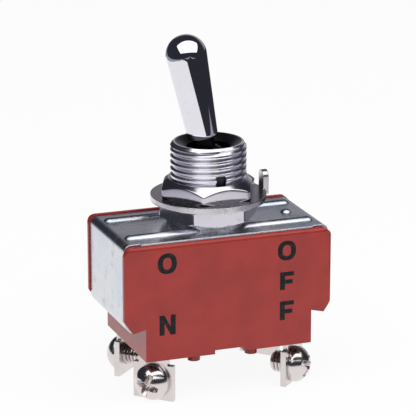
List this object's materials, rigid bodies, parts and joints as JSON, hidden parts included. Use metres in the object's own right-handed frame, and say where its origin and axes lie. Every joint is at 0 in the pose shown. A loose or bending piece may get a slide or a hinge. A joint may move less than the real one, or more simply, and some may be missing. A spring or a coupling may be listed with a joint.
{
  "type": "toggle switch",
  "caption": "Panel-mount bat-handle toggle switch: threaded bushing with hex nuts and locking ring, red moulded case, folded steel cover and screw terminals; throws between ON and OFF.",
  "frame": {"origin": "bushing axis at the panel seat, the top face of the locking ring", "axes": "+Z out of the panel along the bushing, +X towards the OFF end of the lever's swing, +Y to the back"},
  "size_m": [0.0344, 0.02, 0.0562],
  "materials": {
    "case_red": "moulded thermoset, red-brown, glossy, with soft edges",
    "zinc_steel": "zinc-plated sheet, satin with faint blue tints",
    "fibre_board": "dark brown fibre",
    "nickel_bushing": "nickel-plated turned brass",
    "nickel_nut": "nickel-plated brass",
    "nickel_ring": "nickel-plated pressed steel",
    "chrome_lever": "bright chromium plate",
    "hard_steel": "ground steel pin",
    "moulded_black": "black moulded plastic",
    "nickel_screw": "bright nickel-plated steel",
    "nylon_natural": "natural nylon",
    "spring_steel": "drawn spring wire",
    "copper_strip": "copper alloy strip",
    "silver": "silver contact alloy",
    "nickel_terminal": "nickel-plated brass strip"
  },
  "bodies": {
    "housing": {"case": "case_red", "steel_cover": "zinc_steel", "insulator": "fibre_board", "bushing": "nickel_bushing", "backing_nut": "nickel_nut", "locking_ring": "nickel_ring", "mounting_nut": "nickel_nut", "common_terminal_front": "nickel_terminal", "common_terminal_rear": "nickel_terminal", "switched_terminal_front": "nickel_terminal", "switched_terminal_rear": "nickel_terminal", "fixed_contact_front": "silver", "fixed_contact_rear": "silver", "terminal_screws": "nickel_screw"},
    "lever": {"toggle_lever": "chrome_lever", "pivot_pin": "hard_steel", "drive_block": "moulded_black", "plunger_spring_front": "spring_steel", "plunger_spring_rear": "spring_steel"},
    "contactor_front": {"contactor_front": "copper_strip", "moving_contact_front": "silver"},
    "plunger_front": {"plunger_front": "nylon_natural"},
    "contactor_rear": {"contactor_rear": "copper_strip", "moving_contact_rear": "silver"},
    "plunger_rear": {"plunger_rear": "nylon_natural"}
  },
  "joints": [
    {"name": "toggle", "type": "hinge", "parent": "housing", "child": "lever", "pos_m": [0, 0, 0.0047], "axis": [0, 1, 0], "range_deg": [0, 23]},
    {"name": "contactor_front_rock", "type": "hinge", "parent": "housing", "child": "contactor_front", "pos_m": [0, -0.0038, -0.0183], "axis": [0, 1, 0], "range_deg": [-16, 0]},
    {"name": "plunger_front_slide", "type": "slide", "parent": "lever", "child": "plunger_front", "axis": [0.1994, 0, -0.9799], "range_m": [-0.0008, 0.0003], "stiffness_N_per_m": 400, "deforming": ["plunger_spring_front"]},
    {"name": "contactor_rear_rock", "type": "hinge", "parent": "housing", "child": "contactor_rear", "pos_m": [0, 0.0038, -0.0183], "axis": [0, 1, 0], "range_deg": [-16, 0]},
    {"name": "plunger_rear_slide", "type": "slide", "parent": "lever", "child": "plunger_rear", "axis": [0.1994, 0, -0.9799], "range_m": [-0.0008, 0.0003], "stiffness_N_per_m": 400, "deforming": ["plunger_spring_rear"]}
  ],
  "couplings": [
    {"joint": "contactor_front_rock", "follows": "toggle", "ratio": -0.69565},
    {"joint": "contactor_rear_rock", "follows": "toggle", "ratio": -0.69565}
  ]
}
